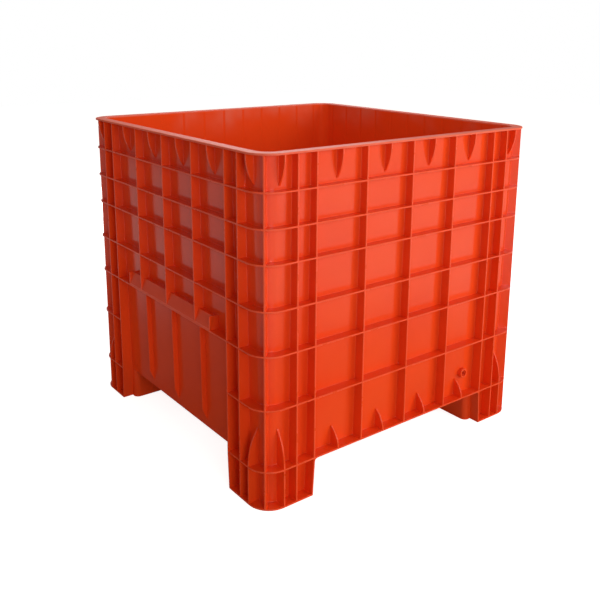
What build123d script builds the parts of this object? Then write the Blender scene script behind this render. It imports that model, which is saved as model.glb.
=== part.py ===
"""Ribbed square bulk container for harvest work, standing on four corner feet.

The container is a plastic moulding. It is laid out here as its own sections: floor, walls, rim, ribs, feet
and drain, which meet their neighbours face to face. Millimetres, +Z up, origin on the ground at the centre of
the footprint. The drain is on the front, which faces -Y. The tipping ledges are on the left and the right.
"""

import os

from build123d import *

# Overall size, over the rim
overall_width = 1100.0
overall_height = 1030.0

# Rim flange
rim_thickness = 6.0
rim_overhang = 3.0
rim_edge_radius = 2.0

# Tub wall, which leans inwards towards the floor so that the ribs get deeper lower down
wall_thickness = 6.0
rib_depth_top = 26.0
rib_depth_bottom = 37.0
corner_radius = 73.0

# Ribs on the outside: four bays between the corner posts, and one narrow bay in each post
rib_thickness = 5.0
bay_count = 4
post_width = 183.0
narrow_bay = 64.0

# Heights of the bays: three upper ones below the rim, then two middle ones that take what is left,
# then the lower bay under the tipping ledge and the base bay over the skirt
upper_bay = 98.5
lower_bay = 160.0
base_bay = 188.5
skirt = 10.0

# Bullet-shaped gussets
rim_gusset_gap = 10.0
base_gusset_rise = 62.0
corner_gusset_rise = 114.0
gusset_fullness = 0.6

# Tipping ledge on the left and right faces, over the recess between the posts
lip_height = 43.0
lip_lean = 13.0
lip_thickness = 4.0
recess_rib_depth = 16.0
recess_rib_taper = 40.0
recess_rib_tip_gap = 24.0

# Floor and its ribs underneath
fork_clearance = 110.0
underside_rib_depth = 70.0
floor_thickness = 6.0

# Feet
foot_step = 24.0
foot_inner_radius = 45.0
foot_end_lean = 6.5
foot_web = 5.0
sole_thickness = 5.0

# Drain with its screwed plug and sealing ring
drain_offset = 31.0
drain_bore = 20.0
boss_diameter = 34.0
boss_stand = 15.0
plug_recess = 5.0
plug_length = 15.0
plug_clearance = 0.3
plug_edge = 1.0
socket_width = 10.0
socket_depth = 8.0
seal_width = 2.6
seal_depth = 2.0
seal_inset = 2.5
seal_clearance = 0.05
groove_clearance = 0.2

# Places worked out from the sizes above
envelope_half = overall_width / 2 - rim_overhang
core_half = envelope_half - corner_radius
rim_under = overall_height - rim_thickness
wall_lean = (rib_depth_bottom - rib_depth_top) / (rim_under - fork_clearance)
half_rib = rib_thickness / 2

post_rib = envelope_half - post_width
second_post_rib = post_rib + narrow_bay
corner_rib = core_half - half_rib
bay_pitch = 2 * post_rib / bay_count
bay_ribs = [bay_pitch * (i - bay_count / 2) for i in range(1, bay_count)]
bay_middles = [bay_pitch * (i - (bay_count - 1) / 2) for i in range(bay_count)]
post_ribs = [-second_post_rib, -post_rib, post_rib, second_post_rib]
corner_ribs = [-corner_rib, corner_rib]

base_level = fork_clearance + skirt
post_level = base_level + base_bay
ledge_level = post_level + lower_bay
upper_levels = [rim_under - upper_bay * i for i in (1, 2, 3)]
middle_levels = [(upper_levels[-1] + ledge_level) / 2, ledge_level]
all_levels = upper_levels + middle_levels + [post_level, base_level]
rim_gusset_tip = upper_levels[0] + half_rib + rim_gusset_gap

floor_under = fork_clearance + underside_rib_depth
floor_top = floor_under + floor_thickness
foot_cup_in = post_rib - foot_step
foot_cup_out = envelope_half - rib_depth_bottom

sides = {"front": 0, "right": 90, "rear": 180, "left": 270}
corners = {"rear_right": 0, "rear_left": 90, "front_left": 180, "front_right": 270}


def wall_reach(height):
    """How far the wall's outer face stands out from the line through the corner centres at a height."""
    return corner_radius - rib_depth_top - wall_lean * (rim_under - height)


def face_plane(turn):
    """The plane of a side's rib edges: x runs along the side, y is up and z points outwards."""
    return Plane.XZ.rotated((0, 0, turn)).offset(envelope_half)


def cross_plane(turn, along=0.0):
    """A plane across a side, at a place along it: x points outwards from the line of the corner centres."""
    side = face_plane(turn)
    origin = side.origin - side.z_dir * corner_radius + side.x_dir * along
    return Plane(origin=origin, x_dir=side.z_dir, z_dir=-side.x_dir)


def cross_planes(turn, places):
    """Planes across a side at several places along it."""
    return [cross_plane(turn, along) for along in places]


def corner_axis(start):
    """The upright line through a corner's centre."""
    return Axis(corner_plane(start).origin, (0, 0, 1))


def corner_plane(start, turn=0.0):
    """An upright plane through a corner's centre: x points outwards, turned from the start of the bend."""
    middle = Vector(core_half, core_half, 0).rotate(Axis.Z, start)
    outwards = Vector(1, 0, 0).rotate(Axis.Z, start + turn)
    return Plane(origin=middle, x_dir=outwards, z_dir=outwards.cross(Vector(0, 0, 1)))


def plan_plane(start, height=0.0):
    """A level plane whose first quadrant holds a corner."""
    return Plane(origin=(0, 0, height), x_dir=Vector(1, 0, 0).rotate(Axis.Z, start), z_dir=(0, 0, 1))


def wall_outline():
    """The wall's section, from its lower edge to the rim."""
    low = wall_reach(fork_clearance)
    high = wall_reach(rim_under)
    return [
        (low, fork_clearance),
        (high, rim_under),
        (high - wall_thickness, rim_under),
        (low - wall_thickness, fork_clearance),
    ]


def rib_outline(bottom, top):
    """A rib's section between two heights, from the rib edge in to the wall."""
    return [
        (corner_radius, bottom),
        (corner_radius, top),
        (wall_reach(top), top),
        (wall_reach(bottom), bottom),
    ]


def save(part, name):
    """Labels a finished piece and writes it."""
    part.label = name
    export_step(part, f"parts/{name}.step")


os.makedirs("parts", exist_ok=True)

# Section of the rim flange, with its upper edges rounded
rim_inner = wall_reach(rim_under) - wall_thickness
rim_outer = corner_radius + rim_overhang
with BuildSketch() as rim_section:
    with BuildLine():
        FilletPolyline(
            (rim_inner, rim_under),
            (rim_inner, overall_height),
            (rim_outer, overall_height),
            (rim_outer, rim_under),
            radius=rim_edge_radius,
        )
        Line((rim_outer, rim_under), (rim_inner, rim_under))
    make_face()

# Side views of the gussets: full depth at the root, curving in to the wall at the tip
gusset_ends = {
    "rim": (rim_under, rim_gusset_tip),
    "base": (base_level, base_level + base_gusset_rise),
    "corner": (base_level, base_level + corner_gusset_rise),
}
gusset_sections = {}
for kind, (root, tip) in gusset_ends.items():
    shoulder = root + (tip - root) * gusset_fullness
    with BuildSketch() as gusset:
        with BuildLine():
            Bezier((corner_radius, root), (corner_radius, shoulder), (wall_reach(tip), tip))
            Polyline((wall_reach(tip), tip), (wall_reach(root), root), (corner_radius, root))
        make_face()
    gusset_sections[kind] = gusset.sketch

# Plans of a foot cup's outside and of its hollow, rounded at the outer and the inner corner
corner_diagonal = Axis((0, 0, 0), (1, 1, 0))
cup_middle = (foot_cup_in + foot_cup_out) / 2
cup_size = foot_cup_out - foot_cup_in
cup_outer_radius = corner_radius - rib_depth_bottom
with BuildSketch() as cup_plan:
    with Locations((cup_middle, cup_middle)):
        Rectangle(cup_size, cup_size)
    fillet(cup_plan.vertices().sort_by(corner_diagonal)[-1], radius=cup_outer_radius)
    fillet(cup_plan.vertices().sort_by(corner_diagonal)[0], radius=foot_inner_radius)
with BuildSketch() as cup_hollow:
    add(cup_plan.sketch)
    offset(amount=-wall_thickness, kind=Kind.INTERSECTION, mode=Mode.REPLACE)
    with Locations((cup_middle, cup_middle)):
        Rectangle(cup_size, foot_web, mode=Mode.SUBTRACT)
        Rectangle(foot_web, cup_size, mode=Mode.SUBTRACT)

# Plan of a foot's sole flange, a band round the corner between the cup and the rib edges
foot_end = post_rib + foot_end_lean
with BuildSketch() as sole_plan:
    with BuildLine():
        outer_edge = FilletPolyline(
            (foot_end, envelope_half),
            (envelope_half, envelope_half),
            (envelope_half, foot_end),
            radius=corner_radius,
        )
        inner_edge = FilletPolyline(
            (foot_end, foot_cup_out),
            (foot_cup_out, foot_cup_out),
            (foot_cup_out, foot_end),
            radius=cup_outer_radius,
        )
        Line(outer_edge @ 0, inner_edge @ 0)
        Line(outer_edge @ 1, inner_edge @ 1)
    make_face()

# Drain place, to the right of the last gusset of the front, with the bore level with the floor
drain_along = bay_middles[-1] + drain_offset
drain_height = floor_top + drain_bore / 2
drain_wall = core_half + wall_reach(drain_height)
drain_plane = Plane(origin=(drain_along, -drain_wall, drain_height), x_dir=(1, 0, 0), z_dir=(0, -1, 0))

# Wall skins
for side, turn in sides.items():
    with BuildPart() as wall:
        with BuildSketch(cross_plane(turn)):
            Polygon(*wall_outline(), align=None)
        extrude(amount=core_half, both=True)
        if side == "front":
            with BuildSketch(drain_plane):
                Circle(drain_bore / 2)
            extrude(amount=2 * wall_thickness, both=True, mode=Mode.SUBTRACT)
            front_wall = wall.part
    save(wall.part, f"{side}_wall")

# Rounded corner skins
for corner, start in corners.items():
    with BuildPart() as corner_wall:
        with BuildSketch(corner_plane(start)):
            Polygon(*wall_outline(), align=None)
        revolve(axis=corner_axis(start), revolution_arc=90)
    save(corner_wall.part, f"{corner}_corner_wall")

# Rim flange along the sides
for side, turn in sides.items():
    with BuildPart() as rim:
        with BuildSketch(cross_plane(turn)):
            add(rim_section.sketch)
        extrude(amount=core_half, both=True)
    save(rim.part, f"{side}_rim")

# Rim flange round the corners
for corner, start in corners.items():
    with BuildPart() as rim_corner:
        with BuildSketch(corner_plane(start)):
            add(rim_section.sketch)
        revolve(axis=corner_axis(start), revolution_arc=90)
    save(rim_corner.part, f"{corner}_rim_corner")

# Level ribs of the sides; on the left and the right they end with the ledge
side_levels = {"front": all_levels, "rear": all_levels}
side_levels["left"] = side_levels["right"] = upper_levels + middle_levels
level_ribs = {}
for side, turn in sides.items():
    with BuildPart() as bars:
        with BuildSketch(cross_plane(turn)):
            for level in side_levels[side]:
                Polygon(*rib_outline(level - half_rib, level + half_rib), align=None)
        extrude(amount=core_half, both=True)
    level_ribs[side] = bars.part
    save(bars.part, f"{side}_level_ribs")

# Upright ribs of the front and the rear, with the gussets at their foot, between the level ribs
for side in ("front", "rear"):
    turn = sides[side]
    with BuildPart() as upright_ribs:
        with BuildSketch(*cross_planes(turn, bay_ribs)):
            Polygon(*rib_outline(base_level, rim_under), align=None)
        with BuildSketch(*cross_planes(turn, post_ribs)):
            Polygon(*rib_outline(fork_clearance, rim_under), align=None)
        with BuildSketch(*cross_planes(turn, bay_middles)):
            add(gusset_sections["base"])
        with BuildSketch(*cross_planes(turn, corner_ribs)):
            add(gusset_sections["corner"])
            Polygon(*rib_outline(fork_clearance, base_level), align=None)
        extrude(amount=half_rib, both=True)
        add(level_ribs[side], mode=Mode.SUBTRACT)
    save(upright_ribs.part, f"{side}_upright_ribs")

# Upright ribs of the left and the right, from the ledge to the rim
for side in ("left", "right"):
    with BuildPart() as upright_ribs:
        with BuildSketch(*cross_planes(sides[side], bay_ribs + post_ribs)):
            Polygon(*rib_outline(ledge_level, rim_under), align=None)
        extrude(amount=half_rib, both=True)
        add(level_ribs[side], mode=Mode.SUBTRACT)
    save(upright_ribs.part, f"{side}_upright_ribs")

# Posts below the ledge, at both ends of the left and the right
lower_post_middle = (post_rib - half_rib + core_half) / 2
lower_post_half = (core_half - post_rib + half_rib) / 2
for side, ends in {"left": {"front": 1, "rear": -1}, "right": {"front": -1, "rear": 1}}.items():
    turn = sides[side]
    for end, way in ends.items():
        with BuildPart() as post:
            with BuildSketch(cross_plane(turn, way * lower_post_middle)):
                for level in (post_level, base_level):
                    Polygon(*rib_outline(level - half_rib, level + half_rib), align=None)
            extrude(amount=lower_post_half, both=True)
            with BuildSketch(*cross_planes(turn, [way * post_rib, way * second_post_rib])):
                Polygon(*rib_outline(fork_clearance, ledge_level - half_rib), align=None)
            extrude(amount=half_rib, both=True)
            with BuildSketch(cross_plane(turn, way * corner_rib)):
                add(gusset_sections["corner"])
                Polygon(*rib_outline(fork_clearance, base_level), align=None)
            extrude(amount=half_rib, both=True)
        save(post.part, f"{side}_{end}_lower_post")

# Gussets that hang from the rim, one in each bay and one at each corner
for side, turn in sides.items():
    with BuildPart() as rim_gussets:
        with BuildSketch(*cross_planes(turn, bay_middles + corner_ribs)):
            add(gusset_sections["rim"])
        extrude(amount=half_rib, both=True)
    save(rim_gussets.part, f"{side}_rim_gussets")

# Ribs round the corners, tied by an upright rib on each diagonal
for corner, start in corners.items():
    with BuildPart() as corner_cage:
        with BuildSketch(corner_plane(start)):
            for level in all_levels:
                Polygon(*rib_outline(level - half_rib, level + half_rib), align=None)
        revolve(axis=corner_axis(start), revolution_arc=90)
        with BuildSketch(corner_plane(start, 45)):
            Polygon(*rib_outline(fork_clearance, rim_under), align=None)
        extrude(amount=half_rib, both=True)
    save(corner_cage.part, f"{corner}_corner_ribs")

# Tipping lips on the ledge: leaning plates between the ribs, with an end plate at each end
lip_base = ledge_level + half_rib
lip_top = lip_base + lip_height
lip_slope = [(corner_radius, lip_base), (corner_radius - lip_lean, lip_top)]
lip_outline = lip_slope + [(reach - lip_thickness, height) for reach, height in reversed(lip_slope)]
lip_end_outline = lip_slope + [(wall_reach(lip_top), lip_top), (wall_reach(lip_base), lip_base)]
inner_lips = bay_middles[1:-1]
inner_lip_half = bay_pitch / 2 - half_rib
outer_lip_start = bay_ribs[-1] + half_rib
outer_lip_end = bay_middles[-1]
outer_lip_middle = (outer_lip_start + outer_lip_end) / 2
lip_end_place = outer_lip_end - lip_thickness / 2
for side in ("left", "right"):
    turn = sides[side]
    with BuildPart() as lip:
        with BuildSketch(*cross_planes(turn, inner_lips)):
            Polygon(*lip_outline, align=None)
        extrude(amount=inner_lip_half, both=True)
        with BuildSketch(*cross_planes(turn, [-outer_lip_middle, outer_lip_middle])):
            Polygon(*lip_outline, align=None)
        extrude(amount=(outer_lip_end - outer_lip_start) / 2, both=True)
        with BuildSketch(*cross_planes(turn, [-lip_end_place, lip_end_place])):
            Polygon(*lip_end_outline, align=None)
        extrude(amount=lip_thickness / 2, both=True)
    save(lip.part, f"{side}_tipping_lip")

# Shallow upright ribs on the recessed panel under the ledge
recess_top = ledge_level - half_rib
recess_tip = fork_clearance + recess_rib_tip_gap
recess_shoulder = recess_tip + recess_rib_taper
recess_outline = [
    (wall_reach(recess_top) + recess_rib_depth, recess_top),
    (wall_reach(recess_shoulder) + recess_rib_depth, recess_shoulder),
    (wall_reach(recess_tip), recess_tip),
    (wall_reach(recess_top), recess_top),
]
for side in ("left", "right"):
    with BuildPart() as recess_ribs:
        with BuildSketch(*cross_planes(sides[side], bay_ribs)):
            Polygon(*recess_outline, align=None)
        extrude(amount=half_rib, both=True)
    save(recess_ribs.part, f"{side}_recess_ribs")

# Floor plate
floor_corner = wall_reach(floor_under) - wall_thickness
floor_width = 2 * (core_half + floor_corner)
with BuildPart() as floor_deck:
    with BuildSketch(Plane.XY.offset(floor_under)):
        RectangleRounded(floor_width, floor_width, floor_corner)
    extrude(amount=floor_thickness)
save(floor_deck.part, "floor_deck")

# Ribs under the floor, in line with the bay ribs and over the inner walls of the feet
foot_wall_line = foot_cup_in + wall_thickness / 2
underside_lines = bay_ribs + [-foot_wall_line, foot_wall_line]
underside_length = 2 * (core_half + wall_reach(fork_clearance) - wall_thickness)
with BuildPart() as underside_long_ribs:
    with BuildSketch(Plane.XY.offset(fork_clearance)):
        with Locations(*[(0, place) for place in underside_lines]):
            Rectangle(underside_length, rib_thickness)
    extrude(amount=underside_rib_depth)
save(underside_long_ribs.part, "underside_long_ribs")

# Cross ribs under the floor, between the long ones
with BuildPart() as underside_cross_ribs:
    with BuildSketch(Plane.XY.offset(fork_clearance)):
        with Locations(*[(place, 0) for place in underside_lines]):
            Rectangle(rib_thickness, underside_length)
    extrude(amount=underside_rib_depth)
    add(underside_long_ribs.part, mode=Mode.SUBTRACT)
save(underside_cross_ribs.part, "underside_cross_ribs")

# Feet: a hollow cup under each corner, with two webs across it
for corner, start in corners.items():
    with BuildPart() as cup:
        with BuildSketch(plan_plane(start)):
            add(cup_plan.sketch)
        extrude(amount=fork_clearance)
        with BuildSketch(plan_plane(start)):
            add(cup_hollow.sketch)
        extrude(amount=fork_clearance, mode=Mode.SUBTRACT)
    save(cup.part, f"{corner}_foot_cup")

# Ribs round the feet, standing on a sole flange; the end ribs lean in towards the ground
end_rib_outline = [
    (post_rib - half_rib, fork_clearance),
    (post_rib + half_rib, fork_clearance),
    (foot_end + half_rib, 0),
    (foot_end - half_rib, 0),
]
foot_rib_places = [second_post_rib, corner_rib]
band_middle = envelope_half - rib_depth_bottom / 2
for corner, start in corners.items():
    with BuildPart() as foot_ribs:
        with BuildSketch(plan_plane(start)):
            add(sole_plan.sketch)
        extrude(amount=sole_thickness)
        with BuildSketch(plan_plane(start)):
            with Locations(*[(place, band_middle) for place in foot_rib_places]):
                Rectangle(rib_thickness, rib_depth_bottom)
            with Locations(*[(band_middle, place) for place in foot_rib_places]):
                Rectangle(rib_depth_bottom, rib_thickness)
        extrude(amount=fork_clearance)
        with BuildSketch(corner_plane(start, 45)):
            with Locations((corner_radius, 0)):
                Rectangle(rib_depth_bottom, fork_clearance, align=(Align.MAX, Align.MIN))
        extrude(amount=half_rib, both=True)
        for turn, way in ((start + 90, 1), (start + 180, -1)):
            with BuildSketch(face_plane(turn)):
                Polygon(*[(way * along, height) for along, height in end_rib_outline], align=None)
            extrude(amount=-rib_depth_bottom)
    save(foot_ribs.part, f"{corner}_foot_ribs")

# Drain boss on the front wall
with BuildPart() as drain_boss:
    with BuildSketch(drain_plane.offset(boss_stand)):
        Circle(boss_diameter / 2)
        Circle(drain_bore / 2, mode=Mode.SUBTRACT)
    extrude(amount=-boss_stand - wall_thickness / 2)
    add(front_wall, mode=Mode.SUBTRACT)
save(drain_boss.part, "drain_boss")

# Drain plug, sunk in the boss, with a hexagon socket and a groove for its sealing ring
plug_radius = drain_bore / 2 - plug_clearance
seal_outer = drain_bore / 2 - seal_clearance
seal_inner = seal_outer - seal_depth
plug_face = drain_plane.offset(boss_stand - plug_recess)
seal_face = plug_face.offset(seal_inset + seal_width - plug_length)
groove_face = seal_face.offset(groove_clearance)
with BuildPart() as drain_plug:
    with BuildSketch(plug_face):
        Circle(plug_radius)
    extrude(amount=-plug_length)
    chamfer(drain_plug.edges(), length=plug_edge)
    with BuildSketch(groove_face):
        Circle(plug_radius)
        Circle(seal_inner - groove_clearance, mode=Mode.SUBTRACT)
    extrude(amount=-seal_width - 2 * groove_clearance, mode=Mode.SUBTRACT)
    with BuildSketch(plug_face):
        RegularPolygon(socket_width / 2, side_count=6, major_radius=False)
    extrude(amount=-socket_depth, mode=Mode.SUBTRACT)
save(drain_plug.part, "drain_plug")

# Sealing ring in the plug's groove
with BuildPart() as drain_seal:
    with BuildSketch(seal_face):
        Circle(seal_outer)
        Circle(seal_inner, mode=Mode.SUBTRACT)
    extrude(amount=-seal_width)
save(drain_seal.part, "drain_seal")
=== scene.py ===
"""Looks of a ribbed square bulk container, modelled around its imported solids.

Each stretch of wall is modelled flat from a slab: it is cut along the edges of its ribs, the rib cells are
drawn out, and the sheet is then laid on its side of the tub or wrapped round its corner. Metres, +Z up, front
towards -Y.
"""

import logging
import math
from dataclasses import dataclass
from enum import Enum
from functools import reduce
from typing import Callable, Sequence

import bmesh
import bpy
from mathutils import Matrix, Quaternion, Vector


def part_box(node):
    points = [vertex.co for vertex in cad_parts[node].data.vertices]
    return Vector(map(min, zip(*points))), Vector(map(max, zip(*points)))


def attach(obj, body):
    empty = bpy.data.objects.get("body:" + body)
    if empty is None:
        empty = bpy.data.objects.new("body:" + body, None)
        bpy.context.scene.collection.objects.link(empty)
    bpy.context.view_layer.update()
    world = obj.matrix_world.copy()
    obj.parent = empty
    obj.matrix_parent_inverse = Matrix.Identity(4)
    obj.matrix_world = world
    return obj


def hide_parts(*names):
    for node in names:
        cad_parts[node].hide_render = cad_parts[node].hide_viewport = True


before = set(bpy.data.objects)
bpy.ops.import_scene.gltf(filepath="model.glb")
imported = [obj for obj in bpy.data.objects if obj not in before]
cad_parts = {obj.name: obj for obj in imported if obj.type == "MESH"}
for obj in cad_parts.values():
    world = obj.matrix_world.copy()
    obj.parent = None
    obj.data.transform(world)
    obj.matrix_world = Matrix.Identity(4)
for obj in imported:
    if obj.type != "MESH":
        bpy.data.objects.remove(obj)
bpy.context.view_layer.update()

LOG = logging.getLogger("container")

Piece = bpy.types.Object
Material = bpy.types.Material
Socket = bpy.types.NodeSocket
Feed = Socket | float
Colour = tuple[float, float, float, float]
Point = tuple[float, float, float]
Span = tuple[float, float]
VectorTest = Callable[[Vector, Vector], bool]
Part = tuple[Piece, list[str]]

# Places nearer to each other than this are one place.
NEAR = 1e-5
# Decimals of a metre that corners of the solids and cuts of a slab are rounded to.
CORNER_DIGITS = 5
CUT_DIGITS = 6
# A face looks along an axis where its normal has more than this share of it.
FACING = 0.5
# Where the sides meet the corner posts, and where the feet end towards the fork ways.
SEAM = 0.450
FOOT_INNER = 0.340
# Which level rib, counted up from 0 at the base, is the ledge of the left and the right.
LEDGE_LEVEL = 2


class Turned(Enum):
    """A place on the tub, by its turn in degrees about the upright axis."""

    @property
    def label(self) -> str:
        """The place's name as the solids spell it."""
        return self.name.lower()

    def solids(self, kinds: Sequence[str]) -> list[str]:
        """Names of the solids of some kinds at this place."""
        return [f"{self.label}_{kind}" for kind in kinds]


class Side(Turned):
    """The four sides, counted from the front."""

    FRONT = 0
    RIGHT = 90
    REAR = 180
    LEFT = 270


class Corner(Turned):
    """The four corners, counted from the rear right one."""

    REAR_RIGHT = 0
    REAR_LEFT = 90
    FRONT_LEFT = 180
    FRONT_RIGHT = 270


class Layer(Enum):
    """Where a point of a flat slab lies, by its outward mark in metres."""

    INNER = 0.0
    OUTER = 0.010
    RAISED = 0.020

    @classmethod
    def of(cls, mark: float) -> "Layer":
        """The layer whose mark is nearest."""
        return min(cls, key=lambda layer: abs(layer.value - mark))


class Slot(Enum):
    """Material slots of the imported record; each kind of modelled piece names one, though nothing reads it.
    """

    TUB = "tub_plastic"
    PLUG = "plug_plastic"


class Body(Enum):
    """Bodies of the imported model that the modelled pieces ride."""

    TUB = "container"
    SCREW = "drain_screw"


def rib_bands(node: str, axis: int, widest: float = 0.0075) -> tuple[Span, ...]:
    """Finds the two edges of each rib of a solid, from where the solid has corners.

    Args:
        node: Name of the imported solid.
        axis: 0, 1 or 2 for X, Y or Z.
        widest: Gap from one corner to the next that still belongs to one rib.

    Returns:
        One (low, high) pair for each rib in rising order, to a hundredth of a millimetre.
    """
    groups: list[list[float]] = []
    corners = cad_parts[node].data.vertices
    for place in sorted({round(corner.co[axis], CORNER_DIGITS) for corner in corners}):
        if groups and place - groups[-1][1] < widest:
            groups[-1][1] = place
        else:
            groups.append([place, place])
    return tuple((low, high) for low, high in groups)


@dataclass(frozen=True)
class MouldSizes:
    """Main sizes of the moulding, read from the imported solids."""

    foot_top: float
    rim_under: float
    rim_top: float
    core: float
    envelope: float
    rim_edge: float
    rim_inner: float
    reach_top: float
    reach_bottom: float
    wall: float
    levels: tuple[Span, ...]
    uprights: tuple[Span, ...]
    gussets: tuple[Span, ...]
    gusset_tip: float

    @classmethod
    def from_frame(cls) -> "MouldSizes":
        """Reads the sizes from the boxes and corners of the solids.

        Returns:
            The sizes in metres.
        """
        wall_low, wall_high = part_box("front_wall")
        rim_low, rim_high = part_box("front_rim")
        ribs_low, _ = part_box("front_level_ribs")
        gusset_low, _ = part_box("front_rim_gussets")
        core = wall_high.x
        wall = rim_high.y - wall_low.y
        return cls(
            foot_top=wall_low.z,
            rim_under=wall_high.z,
            rim_top=rim_high.z,
            core=core,
            envelope=-ribs_low.y,
            rim_edge=-rim_low.y,
            rim_inner=-rim_high.y,
            reach_top=-wall_low.y - core,
            reach_bottom=-wall_high.y - core + wall,
            wall=wall,
            levels=rib_bands("front_level_ribs", 2),
            uprights=rib_bands("left_upright_ribs", 1),
            gussets=rib_bands("front_rim_gussets", 0),
            gusset_tip=gusset_low.z,
        )

    @property
    def tall(self) -> Span:
        """Heights of the walls, from the feet to the rim."""
        return self.foot_top, self.rim_under

    @property
    def base_rib(self) -> Span:
        """Heights of the lowest level rib."""
        return self.levels[0]

    @property
    def bay_gussets(self) -> tuple[Span, ...]:
        """The gussets of a side, one in each bay, without those of the corners."""
        return self.gussets[1:-1]

    @property
    def bay_ribs(self) -> tuple[Span, ...]:
        """The three upright ribs between the posts of a side."""
        return self.uprights[2:-2]

    @property
    def post_ribs(self) -> tuple[Span, ...]:
        """The two upright ribs of the posts at each end of a side."""
        return self.uprights[:2] + self.uprights[-2:]

    @property
    def radius(self) -> float:
        """Radius of the rib edges round a corner."""
        return self.envelope - self.core

    @property
    def half_arc(self) -> float:
        """Half the length of the rib edges round a corner."""
        return self.radius * math.pi / 4

    @property
    def unrolled(self) -> float:
        """Length of the unrolled rib edges from a corner's diagonal to the middle of a side."""
        return self.half_arc + self.core

    @property
    def half_rib(self) -> float:
        """Half a rib's thickness."""
        low, high = self.base_rib
        return (high - low) / 2

    @property
    def middle_rib(self) -> Span:
        """The two edges of a rib that lies on a middle line."""
        return -self.half_rib, self.half_rib

    def reach(self, height: float) -> float:
        """How far the wall's outer face stands from the line of the corner centres at a height."""
        share = (height - self.foot_top) / (self.rim_under - self.foot_top)
        return self.reach_bottom + (self.reach_top - self.reach_bottom) * max(share, 0.0)


SIZES = MouldSizes.from_frame()


def full_reach(height: float) -> float:
    """Reach of the rib edges, which stand upright."""
    return SIZES.radius


@dataclass(frozen=True)
class Raised:
    """A raised stretch of wall, such as a rib: where it lies, how far it stands out and where it is cut."""

    along: Span
    height: Span
    reach: Callable[[float], float] = full_reach
    rows: tuple[float, ...] = ()

    def holds(self, along: float, height: float) -> bool:
        """Whether a point of the wall lies in this stretch."""
        inside = self.along[0] - NEAR <= along <= self.along[1] + NEAR
        return inside and self.height[0] - NEAR <= height <= self.height[1] + NEAR


@dataclass(frozen=True)
class Gusset:
    """A bullet-shaped brace: its edge runs from the rib edges at the root to the wall at the tip.

    The edge is a quadratic curve whose middle point stands at the rib edges, some way towards the tip.
    """

    root: float
    tip: float
    fullness: float = 0.6
    steps: int = 9
    stub: float = 0.0008

    @property
    def bend(self) -> float:
        """Weight of the curve's square part."""
        return 1 - 2 * self.fullness

    def rows(self) -> tuple[float, ...]:
        """Heights of the points of the curved edge between the root and the tip."""
        runs = [share * (2 * self.fullness + self.bend * share) for share in self.shares()]
        return tuple(self.root + (self.tip - self.root) * run for run in runs)

    def shares(self) -> list[float]:
        """Even steps of the curve's parameter between the root and the tip."""
        return [step / self.steps for step in range(1, self.steps)]

    def reach(self, height: float) -> float:
        """Works out how far the curved edge stands from the line of the corner centres.

        Args:
            height: Height over the ground.

        Returns:
            The distance, never less than the wall's at the tip.
        """
        run = min(max((height - self.root) / (self.tip - self.root), 0.0), 1.0)
        share = (math.sqrt(self.fullness**2 + self.bend * run) - self.fullness) / self.bend
        return SIZES.radius * (1 - share**2) + (SIZES.reach(self.tip) + self.stub) * share**2


def rim_gusset(along: Span) -> Raised:
    """The gusset that hangs from the rim at a place along the wall."""
    curve = Gusset(SIZES.rim_under, SIZES.gusset_tip)
    return Raised(along, (curve.tip, curve.root), curve.reach, curve.rows())


def base_gusset(along: Span, rise: float) -> Raised:
    """Shapes a gusset that stands on the lowest level rib.

    Args:
        along: Where it lies along the wall.
        rise: Its height over the rib's middle.

    Returns:
        The raised stretch above the rib.
    """
    low, high = SIZES.base_rib
    root = (low + high) / 2
    curve = Gusset(root, root + rise)
    rows = tuple(row for row in curve.rows() if row > high + NEAR)
    return Raised(along, (high, curve.tip), curve.reach, rows)


def object_mode() -> None:
    """Leaves edit mode."""
    bpy.ops.object.mode_set(mode="OBJECT")


def deselect_all() -> None:
    """Leaves edit mode with nothing selected."""
    if bpy.context.mode != "OBJECT":
        object_mode()
    bpy.ops.object.select_all(action="DESELECT")


def pick(obj: Piece) -> None:
    """Selects one object alone and makes it active.

    Args:
        obj: The object.
    """
    deselect_all()
    obj.select_set(True)
    bpy.context.view_layer.objects.active = obj


def adopt(name: str) -> Piece:
    """Names the active object and puts its place, turn and scale into its mesh.

    Args:
        name: Name of the object.

    Returns:
        The object, at the origin.
    """
    obj = bpy.context.object
    obj.name = name
    bpy.ops.object.transform_apply(location=True, rotation=True, scale=True)
    return obj


def new_box(name: str, *spans: Span) -> Piece:
    """Adds a box at its size and place.

    Args:
        name: Name of the new object.
        spans: The two places of its faces on X, on Y and on Z.

    Returns:
        The box, at the origin, with its place in its mesh.
    """
    low, high = (Vector(places) for places in zip(*(sorted(span) for span in spans)))
    deselect_all()
    bpy.ops.mesh.primitive_cube_add(size=1.0, location=(low + high) / 2, scale=high - low)
    return adopt(name)


def every_face(middle: Vector, normal: Vector) -> bool:
    """The test that any face passes."""
    return True


def clear_selection(mesh: bpy.types.Mesh) -> None:
    """Deselects everything in a mesh."""
    for elements in (mesh.vertices, mesh.edges, mesh.polygons):
        elements.foreach_set("select", [False] * len(elements))


def select_faces(obj: Piece, wanted: VectorTest = every_face) -> int:
    """Opens an object for editing with some of its faces selected.

    Args:
        obj: The object to edit.
        wanted: Test of a face by its middle and its normal.

    Returns:
        How many faces are selected.
    """
    pick(obj)
    bpy.context.tool_settings.mesh_select_mode = (False, False, True)
    clear_selection(obj.data)
    chosen = [wanted(face.center.copy(), face.normal.copy()) for face in obj.data.polygons]
    obj.data.polygons.foreach_set("select", chosen)
    bpy.ops.object.mode_set(mode="EDIT")
    return sum(chosen)


def extrude(*run: float) -> None:
    """Draws the selected faces out along X, Y and Z."""
    bpy.ops.mesh.extrude_region_move(TRANSFORM_OT_translate={"value": run})


def face_outwards() -> None:
    """Turns all faces of the edited object outwards."""
    bpy.ops.mesh.select_all(action="SELECT")
    bpy.ops.mesh.normals_make_consistent(inside=False)


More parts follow.
